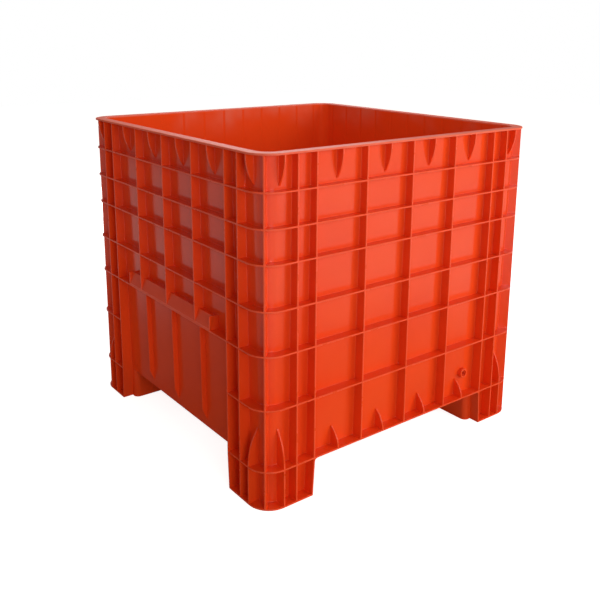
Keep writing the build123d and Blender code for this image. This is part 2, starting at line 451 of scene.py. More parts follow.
def cut(obj: Piece, axis: int, places: Sequence[float], wanted: VectorTest = every_face) -> None:
    """Cuts an object's faces along planes square to an axis.

    Args:
        obj: The object to cut.
        axis: 0, 1 or 2 for X, Y or Z.
        places: Where the planes lie on that axis.
        wanted: Test of the faces that are cut.
    """
    normal = Vector([float(index == axis) for index in range(3)])
    for place in places:
        if select_faces(obj, wanted):
            bpy.ops.mesh.bisect(plane_co=normal * place, plane_no=normal)
        object_mode()


def apply_modifiers(obj: Piece) -> None:
    """Applies every modifier of an object in its order.

    Args:
        obj: The object.
    """
    pick(obj)
    for name in [modifier.name for modifier in obj.modifiers]:
        bpy.ops.object.modifier_apply(modifier=name)


def smooth(obj: Piece, angle: float = 38.0) -> Piece:
    """Shades an object smooth, with normals led by its large faces.

    Args:
        obj: The object.
        angle: Angle in degrees past which an edge stays sharp.

    Returns:
        The same object.
    """
    pick(obj)
    bpy.ops.object.shade_smooth_by_angle(angle=math.radians(angle))
    weighted = obj.modifiers.new("large_faces_lead", "WEIGHTED_NORMAL")
    weighted.keep_sharp = True
    apply_modifiers(obj)
    return obj


def carve(piece: Piece, cutter: Piece) -> None:
    """Cuts one object out of a piece and removes the cutter.

    Args:
        piece: The piece that is cut.
        cutter: The closed object that cuts it.
    """
    carving = piece.modifiers.new("carving", "BOOLEAN")
    carving.object = cutter
    carving.operation = "DIFFERENCE"
    carving.solver = "EXACT"
    apply_modifiers(piece)
    bpy.data.objects.remove(cutter, do_unlink=True)


def moved_copy(obj: Piece, name: str, move: Matrix) -> Piece:
    """Copies an object with its own mesh, moved in that mesh.

    Args:
        obj: The object.
        name: Name of the copy and its mesh.
        move: The move or turn.

    Returns:
        The copy, at the origin.
    """
    twin = obj.copy()
    twin.data = obj.data.copy()
    twin.name = name
    twin.data.name = name
    twin.parent = None
    twin.matrix_world = Matrix.Identity(4)
    bpy.context.scene.collection.objects.link(twin)
    twin.data.transform(move)
    return twin


def turn(place: Turned) -> Matrix:
    """The turn about the upright axis to a place, anticlockwise from above."""
    return Matrix.Rotation(math.radians(place.value), 4, "Z")


def on_corners(first: Piece, kind: str, solids: Sequence[str]) -> list[Part]:
    """Keeps a piece at the rear right corner and lays a copy on each other corner.

    Args:
        first: The piece, already named for its corner.
        kind: What the pieces are called after their corner's name.
        solids: Kinds of the solids that a piece stands for.

    Returns:
        The four pieces, each with the names of its solids.
    """
    copies = [moved_copy(first, f"{corner.label}_{kind}", turn(corner)) for corner in list(Corner)[1:]]
    return [(piece, corner.solids(solids)) for piece, corner in zip([first, *copies], Corner)]


def on_left_and_right(left: Piece, kind: str, solids: Sequence[str]) -> list[Part]:
    """Turns a piece that was modelled on the front to the left and lays a copy on the right.

    Args:
        left: The piece, already named for the left.
        kind: What the pieces are called after their side's name.
        solids: Kinds of the solids that a piece stands for.

    Returns:
        The left and the right piece, each with the names of its solids.
    """
    right = moved_copy(left, f"right_{kind}", turn(Side.RIGHT))
    left.data.transform(turn(Side.LEFT))
    return [(left, Side.LEFT.solids(solids)), (right, Side.RIGHT.solids(solids))]


def join(name: str, pieces: Sequence[Piece]) -> Piece:
    """Joins objects into one piece.

    Args:
        name: Name of the piece and its mesh.
        pieces: The objects.

    Returns:
        The first object, with the others in it.
    """
    pick(pieces[0])
    for piece in pieces[1:]:
        piece.select_set(True)
    bpy.ops.object.join()
    pieces[0].name = name
    pieces[0].data.name = name
    return pieces[0]


@dataclass(frozen=True)
class EdgeRounding:
    """How the edges of a moulded piece are rounded; shallow relief takes a share of the full width."""

    width: float = 0.0015
    segments: int = 3
    convex_share: float = 0.72
    full_depth: float = 0.0045
    least_angle: float = 40.0

    def weigh(self, obj: Piece, share: Callable[[bmesh.types.BMEdge], float]) -> None:
        """Marks how much each sharp edge of a piece is rounded.

        Args:
            obj: The piece.
            share: Gives an edge's share of the full width.
        """
        sheet = bmesh.new()
        sheet.from_mesh(obj.data)
        weights = sheet.edges.layers.float.new("bevel_weight_edge")
        for edge in sheet.edges:
            if len(edge.link_faces) == 2 and edge.calc_face_angle() > math.radians(self.least_angle):
                edge[weights] = share(edge)
        sheet.to_mesh(obj.data)
        sheet.free()

    def soften(self, obj: Piece) -> None:
        """Rounds the edges that carry a bevel weight, or every sharp edge where none does.

        Args:
            obj: The piece.
        """
        bevel = obj.modifiers.new("rounded_edges", "BEVEL")
        bevel.width = self.width
        bevel.segments = self.segments
        bevel.use_clamp_overlap = False
        bevel.limit_method = "WEIGHT" if "bevel_weight_edge" in obj.data.attributes else "ANGLE"
        bevel.angle_limit = math.radians(self.least_angle)
        apply_modifiers(obj)

    def finish(self, obj: Piece) -> Piece:
        """Rounds a piece's edges, shades it smooth and hands it back."""
        self.soften(obj)
        return smooth(obj)

    def finish_where(self, obj: Piece, wanted: VectorTest) -> Piece:
        """Does the same for the sharp edges whose two ends pass a test."""
        self.weigh(obj, lambda edge: float(wanted(edge.verts[0].co, edge.verts[1].co)))
        return self.finish(obj)


ROUNDING = EdgeRounding()


def stay(along: float, height: float, layer: Layer) -> float:
    """Leaves a point where it lies along the wall."""
    return along


@dataclass
class WallSection:
    """A stretch of ribbed wall, modelled flat and then laid in its place.

    In the flat slab x runs along the wall from its middle, -y points outwards and z is up. The slab meets
    other sections at its ends and its top, and at its foot from seated_from outwards.
    """

    name: str
    half: float
    height: Span
    raised: list[Raised]
    place: Callable[[float, float, float], Vector]
    columns: tuple[float, ...] = ()
    slide: Callable[[float, float, Layer], float] = stay
    seated_from: float = math.inf

    def relief(self, along: float, height: float) -> float | None:
        """How far the raised stretches stand out of the wall at a point, or None where there are none."""
        reaches = [part.reach(height) for part in self.raised if part.holds(along, height)]
        return max(reaches) - SIZES.reach(height) if reaches else None

    def in_raised(self, middle: Vector, normal: Vector) -> bool:
        """Whether a face of the slab's outer side lies in a raised stretch."""
        return normal.y < -FACING and any(part.holds(middle.x, middle.z) for part in self.raised)

    def is_seam(self, *ends: Vector) -> bool:
        """Tells whether an edge of the flat slab lies against another section.

        Args:
            ends: The edge's two ends.

        Returns:
            True for such an edge.
        """
        foot, top = self.height
        at_end = all(abs(end.x) > self.half - NEAR for end in ends)
        at_top = all(end.z > top - NEAR for end in ends)
        seated = all(end.z < foot + NEAR and abs(end.x) > self.seated_from - NEAR for end in ends)
        return at_end or at_top or seated

    def flat_slab(self) -> Piece:
        """Makes the slab, cuts it along the edges of everything raised and draws the raised cells out.

        Returns:
            The flat slab.
        """
        along = (-self.half, self.half)
        slab = new_box(self.name, along, (-Layer.OUTER.value, -Layer.INNER.value), self.height)
        columns = {round(place, CUT_DIGITS) for part in self.raised for place in part.along}
        columns |= set(self.columns)
        rows = {round(place, CUT_DIGITS) for part in self.raised for place in part.height}
        for axis, places, (low, high) in ((0, columns, along), (2, rows, self.height)):
            cut(slab, axis, sorted(place for place in places if low + NEAR < place < high - NEAR))
        for part in self.raised:
            cut(slab, 2, part.rows, lambda spot, normal: normal.y < -FACING and part.holds(spot.x, spot.z))
        select_faces(slab, self.in_raised)
        extrude(0.0, Layer.OUTER.value - Layer.RAISED.value, 0.0)
        object_mode()
        return slab

    def lay(self, slab: Piece) -> list[Vector]:
        """Moves every point of the flat slab to its place on the tub.

        Args:
            slab: The flat slab.

        Returns:
            The points as they were on the flat slab.
        """
        flat = [vertex.co.copy() for vertex in slab.data.vertices]
        for vertex, point in zip(slab.data.vertices, flat):
            layer = Layer.of(-point.y)
            reach = SIZES.reach(point.z)
            if layer is Layer.INNER:
                reach -= SIZES.wall
            elif layer is Layer.RAISED:
                reach += self.relief(point.x, point.z)
            vertex.co = self.place(self.slide(point.x, point.z, layer), reach, point.z)
        slab.data.update()
        return flat

    def rounding_share(self, edge: bmesh.types.BMEdge, flat: Sequence[Vector]) -> float:
        """Works out how much a sharp edge is rounded.

        Args:
            edge: The edge on the tub.
            flat: The points as they were on the flat slab.

        Returns:
            The share of the full width: none at seams and shallow tips, and less where little stands out.
        """
        ends = [flat[vertex.index] for vertex in edge.verts]
        reliefs = [self.relief(end.x, end.z) for end in ends]
        depth = min((relief for relief in reliefs if relief is not None), default=ROUNDING.full_depth)
        if self.is_seam(*ends) or depth <= ROUNDING.width:
            return 0.0
        share = ROUNDING.convex_share if edge.is_convex else 1.0
        return share * min(depth / ROUNDING.full_depth, 1.0)

    def build(self) -> Piece:
        """Models the section and rounds its edges.

        Returns:
            The finished section.
        """
        slab = self.flat_slab()
        flat = self.lay(slab)
        ROUNDING.weigh(slab, lambda edge: self.rounding_share(edge, flat))
        return ROUNDING.finish(slab)


class SubAssembly:
    """Pieces of the container that ride one body and share one finish."""

    body = Body.TUB
    slot = Slot.TUB

    def build(self) -> list[Part]:
        """Models the pieces and names the solids that each stands for."""
        raise NotImplementedError

    def dress(self, material: Material) -> None:
        """Models the pieces and gives them their finish, their body and the solids that they stand for.

        Args:
            material: The finish.
        """
        for piece, nodes in self.build():
            piece.data.materials.clear()
            piece.data.materials.append(material)
            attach(piece, self.body.value)
            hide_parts(*nodes)
            LOG.info("%s: %d faces, stands for %s", piece.name, len(piece.data.polygons), ", ".join(nodes))


def drain_middle() -> Vector:
    """Middle of the drain's boss."""
    low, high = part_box("drain_boss")
    return (low + high) / 2


@dataclass
class DrainBoss(SubAssembly):
    """The round boss on the front, with the bore for the plug."""

    steps: int = 64
    sunk: float = 0.001
    seal_gap: float = 0.00005
    lip_rounding: EdgeRounding = EdgeRounding(width=0.0014, segments=4)

    @property
    def bore(self) -> float:
        """Radius of the bore, just over the seal's."""
        low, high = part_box("drain_seal")
        return (high.x - low.x) / 2 + self.seal_gap

    def cylinder(self, name: str, radius: float, start: float, end: float) -> Piece:
        """Adds a cylinder along the drain's axis.

        Args:
            name: Name of the new object.
            radius: Its radius.
            start: Place of its front end on Y.
            end: Place of its rear end on Y.

        Returns:
            The cylinder, at the origin, with its place in its mesh.
        """
        middle = drain_middle()
        deselect_all()
        bpy.ops.mesh.primitive_cylinder_add(
            vertices=self.steps,
            radius=radius,
            depth=abs(end - start),
            location=(middle.x, (start + end) / 2, middle.z),
            rotation=(math.pi / 2, 0.0, 0.0),
        )
        return adopt(name)

    def bore_wall(self, wall: Piece) -> None:
        """Cuts the bore through the front."""
        carve(wall, self.cylinder("drain_drill", self.bore, -SIZES.envelope, -SIZES.core))

    def build(self) -> list[Part]:
        """Models the boss as a tube with rounded edges, its foot sunk in the wall.

        Returns:
            The boss with the name of its solid.
        """
        low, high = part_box("drain_boss")
        radius = (high.x - low.x) / 2
        boss = self.cylinder("drain_spigot", radius, low.y, high.y + self.sunk)
        select_faces(boss, lambda point, normal: abs(normal.y) > FACING)
        bpy.ops.mesh.inset(thickness=radius - self.bore)
        bpy.ops.mesh.bridge_edge_loops()
        object_mode()
        return [(self.lip_rounding.finish(boss), ["drain_boss"])]


@dataclass(frozen=True)
class ScrewThread:
    """The plug's thread: a three-sided groove wound round its side, which turns out towards the front."""

    pitch: float = 0.001814
    depth: float = 0.0008
    half_width: float = 0.0007
    spare: float = 0.0002
    turns: int = 6
    steps: int = 72

    def cutter(self, start: Vector, radius: float) -> Piece:
        """Models the bar that cuts the groove.

        Args:
            start: Point of the plug's axis where the winding starts.
            radius: Radius of the plug's side.

        Returns:
            The closed bar, wound from its start towards the rear.
        """
        flank = self.half_width * (1 + self.spare / self.depth)
        profile = ((radius - self.depth, 0.0), (radius + self.spare, flank), (radius + self.spare, -flank))
        deselect_all()
        bpy.ops.mesh.primitive_circle_add(vertices=len(profile), radius=self.half_width, location=start)
        bar = bpy.context.object
        for vertex, (out, along) in zip(bar.data.vertices, profile):
            vertex.co = (out, along, 0.0)
        winding = bar.modifiers.new("thread_winding", "SCREW")
        winding.axis = "Y"
        winding.screw_offset = self.pitch
        winding.iterations = self.turns
        winding.steps = self.steps
        winding.render_steps = self.steps
        apply_modifiers(bar)
        adopt("thread_bar")
        bpy.ops.object.mode_set(mode="EDIT")
        bpy.context.tool_settings.mesh_select_mode = (True, False, False)
        bpy.ops.mesh.select_all(action="DESELECT")
        bpy.ops.mesh.select_non_manifold()
        bpy.ops.mesh.fill_holes(sides=len(profile))
        face_outwards()
        object_mode()
        return bar


@dataclass
class DrainPlug(SubAssembly):
    """The screwed plug in the boss, with a socket in front and a groove for the sealing ring."""

    body = Body.SCREW
    slot = Slot.PLUG

    thread: ScrewThread = ScrewThread()
    edge_break: EdgeRounding = EdgeRounding(width=0.0003, segments=2)

    def build(self) -> list[Part]:
        """Models the plug from its solid, its edges broken and its thread cut up to the seal's groove.

        Returns:
            The plug with the name of its solid.
        """
        plug = moved_copy(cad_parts["drain_plug"], "plug_screw", Matrix.Identity(4))
        select_faces(plug)
        bpy.ops.mesh.remove_doubles(threshold=NEAR)
        bpy.ops.mesh.tris_convert_to_quads()
        object_mode()
        self.edge_break.soften(plug)
        middle = drain_middle()
        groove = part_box("drain_seal")[0].y
        start = Vector((middle.x, groove - self.thread.turns * self.thread.pitch, middle.z))
        carve(plug, self.thread.cutter(start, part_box("drain_plug")[1].x - middle.x))
        return [(smooth(plug), ["drain_plug"])]


@dataclass
class SideWalls(SubAssembly):
    """The four sides between the corner posts: panels, ribs, gussets and, left and right, the recess."""

    boss: DrainBoss
    base_gusset_rise: float = 0.062
    flare: float = 0.009
    flare_rows: int = 4
    solids: tuple[str, ...] = ("wall", "level_ribs", "upright_ribs", "rim_gussets")
    ledge_solids: tuple[str, ...] = ("front_lower_post", "rear_lower_post")

    @property
    def post_edge(self) -> float:
        """Where a post's inner side lies along a wall."""
        return SIZES.uprights[-2][0]

    def lay(self, along: float, reach: float, height: float) -> Vector:
        """Places a point of the flat slab on the front."""
        return Vector((along, -SIZES.core - reach, height))

    def flare_out(self, along: float, height: float, layer: Layer) -> float:
        """Rounds the inside corner between a post and the lowest level rib.

        Args:
            along: Where a point lies along the wall.
            height: Its height over the ground.
            layer: Its layer of the slab.

        Returns:
            Where it goes along the wall.
        """
        base, _ = SIZES.base_rib
        drop = height - (base - self.flare)
        on_post_edge = layer is not Layer.INNER and abs(abs(along) - self.post_edge) <= NEAR
        if not on_post_edge or drop < 0 or height > base + NEAR:
            return along
        shift = self.flare - math.sqrt(max(self.flare**2 - drop**2, 0.0))
        return math.copysign(abs(along) - shift, along)

    def section(self, name: str, raised: list[Raised],
                slide: Callable[[float, float, Layer], float] = stay) -> Piece:
        """Models a side on the front of the tub."""
        columns = (-FOOT_INNER, FOOT_INNER)
        return WallSection(name, SEAM, SIZES.tall, raised, self.lay, columns, slide, FOOT_INNER).build()

    def plain_side(self) -> Piece:
        """Models a side with the full rib grid, as the front and the rear have.

        Returns:
            The side on the front.
        """
        base, _ = SIZES.base_rib
        step = (base - SIZES.foot_top) / self.flare_rows
        flare_rows = tuple(SIZES.foot_top + step * count for count in range(1, self.flare_rows))
        inner_posts = (SIZES.uprights[1], SIZES.uprights[-2])
        raised = [Raised((-SEAM, SEAM), level) for level in SIZES.levels]
        raised += [Raised(band, SIZES.tall) for band in SIZES.post_ribs]
        raised += [Raised(band, (base, SIZES.rim_under)) for band in SIZES.bay_ribs]
        raised += [Raised(band, (SIZES.foot_top, base), full_reach, flare_rows) for band in inner_posts]
        raised += [rim_gusset(band) for band in SIZES.bay_gussets]
        raised += [base_gusset(band, self.base_gusset_rise) for band in SIZES.bay_gussets]
        return self.section("front_side", raised, self.flare_out)

    def ledge_side(self) -> Piece:
        """Models a side with a ledge and a recess below it, as the left and the right have.

        Returns:
            The side on the front, before it is turned.
        """
        _, ledge = SIZES.levels[LEDGE_LEVEL]
        posts = [(-SEAM, -self.post_edge), (self.post_edge, SEAM)]
        raised = [Raised((-SEAM, SEAM), level) for level in SIZES.levels[LEDGE_LEVEL:]]
        raised += [Raised(post, level) for post in posts for level in SIZES.levels[:LEDGE_LEVEL]]
        raised += [Raised(band, SIZES.tall) for band in SIZES.post_ribs]
        raised += [Raised(band, (ledge, SIZES.rim_under)) for band in SIZES.bay_ribs]
        raised += [rim_gusset(band) for band in SIZES.bay_gussets]
        return self.section("left_side", raised)

    def build(self) -> list[Part]:
        """Models both kinds of side, lays a copy on each face of the tub and bores the front.

        Returns:
            The four sides, each with the names of its solids.
        """
        front = self.plain_side()
        rear = moved_copy(front, "rear_side", turn(Side.REAR))
        left, right = on_left_and_right(self.ledge_side(), "side", self.solids + self.ledge_solids)
        self.boss.bore_wall(front)
        return [(front, Side.FRONT.solids(self.solids)), right, (rear, Side.REAR.solids(self.solids)), left]


@dataclass
class CornerPosts(SubAssembly):
    """The four rounded corners with their ring ribs, upright diagonal rib and tall gussets."""

    gusset_rise: float = 0.114
    arc_steps: int = 8

    def lay(self, along: float, reach: float, height: float) -> Vector:
        """Wraps a point of the unrolled sheet round the rear right corner.

        Args:
            along: Distance from the diagonal, measured along the rib edges.
            reach: Distance from the corner centre's line.
            height: Height over the ground.

        Returns:
            The point on the tub.
        """
        beyond = abs(along) - SIZES.half_arc
        if beyond >= -NEAR:
            run = SIZES.core - max(beyond, 0.0)
            out = SIZES.core + reach
            return Vector((out, run, height)) if along < 0 else Vector((run, out, height))
        diagonal = math.pi / 4
        if abs(along) <= SIZES.half_rib + NEAR:
            x = reach * math.cos(diagonal) - along * math.sin(diagonal)
            y = reach * math.sin(diagonal) + along * math.cos(diagonal)
        else:
            bearing = diagonal + along / SIZES.radius
            x = reach * math.cos(bearing)
            y = reach * math.sin(bearing)
        return Vector((SIZES.core + x, SIZES.core + y, height))

    def arc_columns(self) -> tuple[float, ...]:
        """Cuts that let the sheet bend round the corner."""
        step = SIZES.half_arc / self.arc_steps
        return tuple(step * count for count in range(-self.arc_steps, self.arc_steps + 1) if count)

    def braces(self) -> list[Span]:
        """The two strips beside the bend that carry the gussets."""
        near, far = SIZES.half_arc, SIZES.half_arc + 2 * SIZES.half_rib
        return [(-far, -near), (near, far)]

    def build(self) -> list[Part]:
        """Models one corner and lays a copy on each.

        Returns:
            The four posts, each with the names of its solids.
        """
        half = SIZES.unrolled - SEAM
        skirt = (SIZES.foot_top, SIZES.base_rib[0])
        raised = [Raised((-half, half), level) for level in SIZES.levels]
        raised.append(Raised(SIZES.middle_rib, SIZES.tall))
        for brace in self.braces():
            raised += [rim_gusset(brace), base_gusset(brace, self.gusset_rise), Raised(brace, skirt)]
        bends = self.arc_columns()
        post = WallSection("rear_right_post", half, SIZES.tall, raised, self.lay, bends, seated_from=0.0)
        return on_corners(post.build(), "post", ("corner_wall", "corner_ribs"))


@dataclass
class Feet(SubAssembly):
    """The four feet: a hollow cup with a web cross, ribs round its outer sides and a sole flange."""

    posts: CornerPosts
    outer: float = 0.510
    inner_radius: float = 0.045
    end_radius: float = 0.020
    inner_steps: int = 12
    web: float = 0.005
    web_rounding: EdgeRounding = EdgeRounding(width=0.0008, segments=2)
    sole: float = 0.005
    lean: float = 0.0065

    @property
    def middle(self) -> float:
        """Middle of the cup on X and on Y."""
        return (FOOT_INNER + self.outer) / 2

    def strip(self, band: Span) -> Span:
        """Where a rib of the right-hand post lies on the unrolled sheet."""
        return SIZES.unrolled - band[1], SIZES.unrolled - band[0]

    def lean_in(self, along: float, height: float, layer: Layer) -> float:
        """Leans the end ribs towards the corner as they go down.

        Args:
            along: Where a point lies along the unrolled sheet.
            height: Its height over the ground.
            layer: Its layer of the slab.

        Returns:
            Where it goes along the sheet.
        """
        near, far = self.strip(SIZES.uprights[-2])
        if layer is Layer.INNER or not near - NEAR <= abs(along) <= far + NEAR:
            return along
        return math.copysign(abs(along) - self.lean * (1 - height / SIZES.foot_top), along)

    def outer_walls(self) -> Piece:
        """Models the ribbed outer walls with the sole, up to the cup's rounded ends.

        Returns:
            The walls of the rear right foot.
        """
        tall = (0.0, SIZES.foot_top)
        half = SIZES.unrolled - FOOT_INNER - self.end_radius
        strips = [self.strip(band) for band in SIZES.uprights[-2:]] + self.posts.braces()[1:]
        _, end = strips[0]
        raised = [Raised((-end, end), (0.0, self.sole)), Raised(SIZES.middle_rib, tall)]
        for near, far in strips:
            raised += [Raised((near, far), tall), Raised((-far, -near), tall)]
        bends = self.posts.arc_columns()
        return WallSection("foot_outer", half, tall, raised, self.posts.lay, bends, self.lean_in).build()

    def round_plan(self, plan: Piece, outer_sides: int, radius: float) -> None:
        """Rounds the corners of the cup's plan that touch some number of its outer sides.

        Args:
            plan: The flat plan.
            outer_sides: How many outer sides such a corner touches.
            radius: Radius of the rounding.
        """
        pick(plan)
        bpy.context.tool_settings.mesh_select_mode = (True, False, False)
        clear_selection(plan.data)
        for vertex in plan.data.vertices:
            touched = sum(abs(run - self.outer) < NEAR for run in vertex.co.xy)
            at_corner = all(min(run - FOOT_INNER, self.outer - run) < NEAR for run in vertex.co.xy)
            vertex.select = at_corner and touched == outer_sides
        bpy.ops.object.mode_set(mode="EDIT")
        bpy.ops.mesh.bevel(offset=radius, segments=self.inner_steps, affect="VERTICES")
        object_mode()

    def inner_walls(self) -> Piece:
        """Models the two smooth walls towards the fork ways, rounded where they meet and at their ends.

        Returns:
            The walls of the rear right foot.
        """
        deselect_all()
        place = (self.middle, self.middle, 0.0)
        bpy.ops.mesh.primitive_plane_add(size=self.outer - FOOT_INNER, location=place)
        walls = adopt("foot_inner")
        self.round_plan(walls, 0, self.inner_radius)
        self.round_plan(walls, 1, self.end_radius)
        select_faces(walls)
        bpy.ops.mesh.inset(thickness=SIZES.wall)
        bpy.ops.mesh.delete(type="FACE")
        select_faces(walls, lambda point, normal: min(point.xy) > FOOT_INNER + self.end_radius)
        bpy.ops.mesh.delete(type="FACE")
        select_faces(walls)
        extrude(0.0, 0.0, SIZES.foot_top)
        face_outwards()
        object_mode()
        return smooth(walls)

    def web_cross(self) -> Piece:
        """Models the cross of webs inside the cup.

        Returns:
            The cross in the rear right foot.
        """
        half = self.web / 2
        reach = (FOOT_INNER + SIZES.wall / 2, self.outer - SIZES.wall / 2)
        across = (self.middle - half, self.middle + half)
        cross = new_box("foot_webs", reach, across, (0.0, SIZES.foot_top))
        cut(cross, 0, across)
        for way in (-1.0, 1.0):
            select_faces(
                cross, lambda point, normal: normal.y * way > FACING and abs(point.x - self.middle) < half
            )
            extrude(0.0, way * (reach[1] - across[1]), 0.0)
            object_mode()
        return self.web_rounding.finish(cross)

    def build(self) -> list[Part]:
        """Models one foot and sets a copy under each corner."""
        first = join("rear_right_foot", [self.outer_walls(), self.inner_walls(), self.web_cross()])
        return on_corners(first, "foot", ("foot_cup", "foot_ribs"))


def rounded_square(name: str, half: float, height: float, steps: int) -> Piece:
    """Adds a flat square with corners rounded about the tub's corner centres.

    Args:
        name: Name of the new object.
        half: Half its width.
        height: Height over the ground.
        steps: Straight steps round each corner.

    Returns:
        The flat square, open for editing with its face selected.
    """
    deselect_all()
    bpy.ops.mesh.primitive_plane_add(size=2 * half, location=(0.0, 0.0, height))
    plate = adopt(name)
    bpy.ops.object.mode_set(mode="EDIT")
    bpy.ops.mesh.select_all(action="SELECT")
    bpy.ops.mesh.bevel(offset=half - SIZES.core, segments=steps, affect="VERTICES")
    select_faces(plate)
    return plate


@dataclass
class RimRing(SubAssembly):
    """The flat flange round the mouth of the tub."""

    rounding: EdgeRounding = EdgeRounding(width=0.0022, segments=4)
    steps: int = 20

    def is_outer(self, point: Vector) -> bool:
        """Whether a point lies on the outer half of the ring."""
        beyond = math.hypot(*(max(abs(run) - SIZES.core, 0.0) for run in point.xy))
        return beyond > (SIZES.rim_inner + SIZES.rim_edge) / 2 - SIZES.core

    def is_rounded(self, *ends: Vector) -> bool:
        """Tells whether an edge is an upper one, or the lower one on the outside.

        Args:
            ends: The edge's two ends.

        Returns:
            True for such an edge.
        """
        upper = all(end.z > SIZES.rim_top - NEAR for end in ends)
        lower = all(end.z < SIZES.rim_under + NEAR for end in ends)
        return upper or (lower and all(self.is_outer(end) for end in ends))

    def build(self) -> list[Part]:
        """Models the flange as one ring with rounded edges.

        Returns:
            The ring with the names of its solids.
        """
        ring = rounded_square("rim_ring", SIZES.rim_edge, SIZES.rim_top, self.steps)
        bpy.ops.mesh.inset(thickness=SIZES.rim_edge - SIZES.rim_inner)
        bpy.ops.mesh.delete(type="FACE")
        select_faces(ring)
        extrude(0.0, 0.0, SIZES.rim_under - SIZES.rim_top)
        face_outwards()
        object_mode()
        nodes = [f"{side.label}_rim" for side in Side] + [f"{corner.label}_rim_corner" for corner in Corner]
        return [(self.rounding.finish_where(ring, self.is_rounded), nodes)]


@dataclass
class FloorPan(SubAssembly):
    """The tub's floor, coved up into the walls."""

    cove: float = 0.012
    cove_steps: int = 6
    sunk: float = 0.0005
    steps: int = 16

    def build(self) -> list[Part]:
        """Models the floor as a shallow pan whose edge lies in the walls.

        Returns:
            The pan with the name of its solid.
        """
        low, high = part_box("floor_deck")
        pan = rounded_square("floor_pan", high.x + self.sunk, low.z, self.steps)
        extrude(0.0, 0.0, high.z - low.z + self.cove)
        face_outwards()
        select_faces(pan, lambda point, normal: normal.z > FACING)
        bpy.ops.mesh.inset(thickness=2 * self.sunk)
        extrude(0.0, 0.0, -self.cove)
        object_mode()
        rounding = EdgeRounding(width=self.cove - self.sunk, segments=self.cove_steps)
        rounding.finish_where(pan, lambda *ends: all(abs(end.z - high.z) < NEAR for end in ends))
        return [(pan, ["floor_deck"])]


@dataclass
class RecessRibs(SubAssembly):
    """Shallow upright ribs on the panels under the ledges, which run out towards their lower tips."""

    depth: float = 0.016
    run_out: float = 0.040
    sunk: float = 0.001
    rounding: EdgeRounding = EdgeRounding(width=0.0012)

    def plate(self) -> Piece:
        """Models one rib in the middle of the front, its back sunk in the wall and its top in the ledge.

        Returns:
            The rib.
        """
        tip, top = (corner.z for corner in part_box("left_recess_ribs"))
        rib = new_box("recess_rib", SIZES.middle_rib, (-self.depth, self.sunk), (tip, top + self.sunk))
        cut(rib, 2, [tip + self.run_out])
        for vertex in rib.data.vertices:
            if vertex.co.z < tip + NEAR and vertex.co.y < 0.0:
                vertex.co.y = -Gusset.stub
            vertex.co.y -= SIZES.core + SIZES.reach(vertex.co.z)
        return self.rounding.finish(rib)

    def build(self) -> list[Part]:
        """Sets a copy of the rib under each upright of the left, and copies them all to the right.

        Returns:
            The ribs of both sides with the names of their solids.
        """
        first = self.plate()
        shifts = [Matrix.Translation((sum(band) / 2, 0.0, 0.0)) for band in SIZES.bay_ribs]
        ribs = [moved_copy(first, "recess_rib", shift) for shift in shifts]
        bpy.data.objects.remove(first, do_unlink=True)
        return on_left_and_right(join("left_recess", ribs), "recess", ["recess_ribs"])


@dataclass
class TippingLips(SubAssembly):
    """Leaning plates along the ledge of the left and the right, between the ribs."""

    thickness: float = 0.004
    lean: float = 0.013
    sunk: float = 0.001
    proud: float = 0.0004
    cover_drop: float = 0.003
    rounding: EdgeRounding = EdgeRounding(width=0.0011)

    @property
    def rise(self) -> Span:
        """Heights of a lip's foot and top."""
        low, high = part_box("left_tipping_lip")
        return low.z, high.z

    def in_wall(self, height: float) -> float:
        """Where a plate that is sunk in the front's wall ends on Y at a height."""
        return -SIZES.core - SIZES.reach(height) + self.sunk

    def plate(self, start: float, end: float) -> Piece:
        """Models one lip.

        Args:
            start: Where it leaves the rib nearer to the middle.
            end: Where it stops.

        Returns:
            The lip on the front, before it is turned to its side.
        """
        foot, top = self.rise
        face = -SIZES.envelope - self.proud
        bottom, _ = SIZES.levels[LEDGE_LEVEL]
        lip = new_box("lip", (start, end), (face, face + self.thickness), (bottom, top))
        cut(lip, 2, [foot])
        for vertex in lip.data.vertices:
            if vertex.co.z > top - NEAR:
                vertex.co.y += self.lean
        return lip

    def end_plate(self, end: float) -> Piece:
        """Models the upright plate that closes a lip where it stops short of a rib.

        Args:
            end: Where the lip stops.

        Returns:
            The plate on the front.
        """
        foot, top = self.rise
        start = end - math.copysign(self.thickness, end)
        depth = (-SIZES.envelope, self.in_wall(foot))
        return new_box("lip_end", (start, end), depth, (foot - self.sunk, top))

    def cover(self, start: float, end: float) -> Piece:
        """Models the strip that closes the hollow between a lip's top and the wall.

        Args:
            start: Where the lip leaves its rib.
            end: Where the lip stops.

        Returns:
            The strip on the front.
        """
        top = self.rise[1] - self.cover_drop
        along = (start, end - math.copysign(self.sunk, end))
        depth = (-SIZES.envelope + self.lean, self.in_wall(top))
        return new_box("lip_cover", along, depth, (top - self.thickness, top))

    def build(self) -> list[Part]:
        """Models the four lips of a side and lays a copy on the other side.

        Returns:
            The lips of both sides with the names of their solids.
        """
        outer_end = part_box("left_tipping_lip")[1].y - self.sunk
        first, middle, last = SIZES.bay_ribs
        spans = [
            (middle[1] - self.sunk, last[0] + self.sunk),
            (first[1] - self.sunk, middle[0] + self.sunk),
            (last[1] - self.sunk, outer_end),
            (first[0] + self.sunk, -outer_end),
        ]
        plates = [self.plate(*span) for span in spans]
        plates += [self.cover(*span) for span in spans]
        plates += [self.end_plate(outer_end), self.end_plate(-outer_end)]
        finished = [self.rounding.finish(plate) for plate in plates]
        return on_left_and_right(join("left_lips", finished), "lips", ["tipping_lip"])


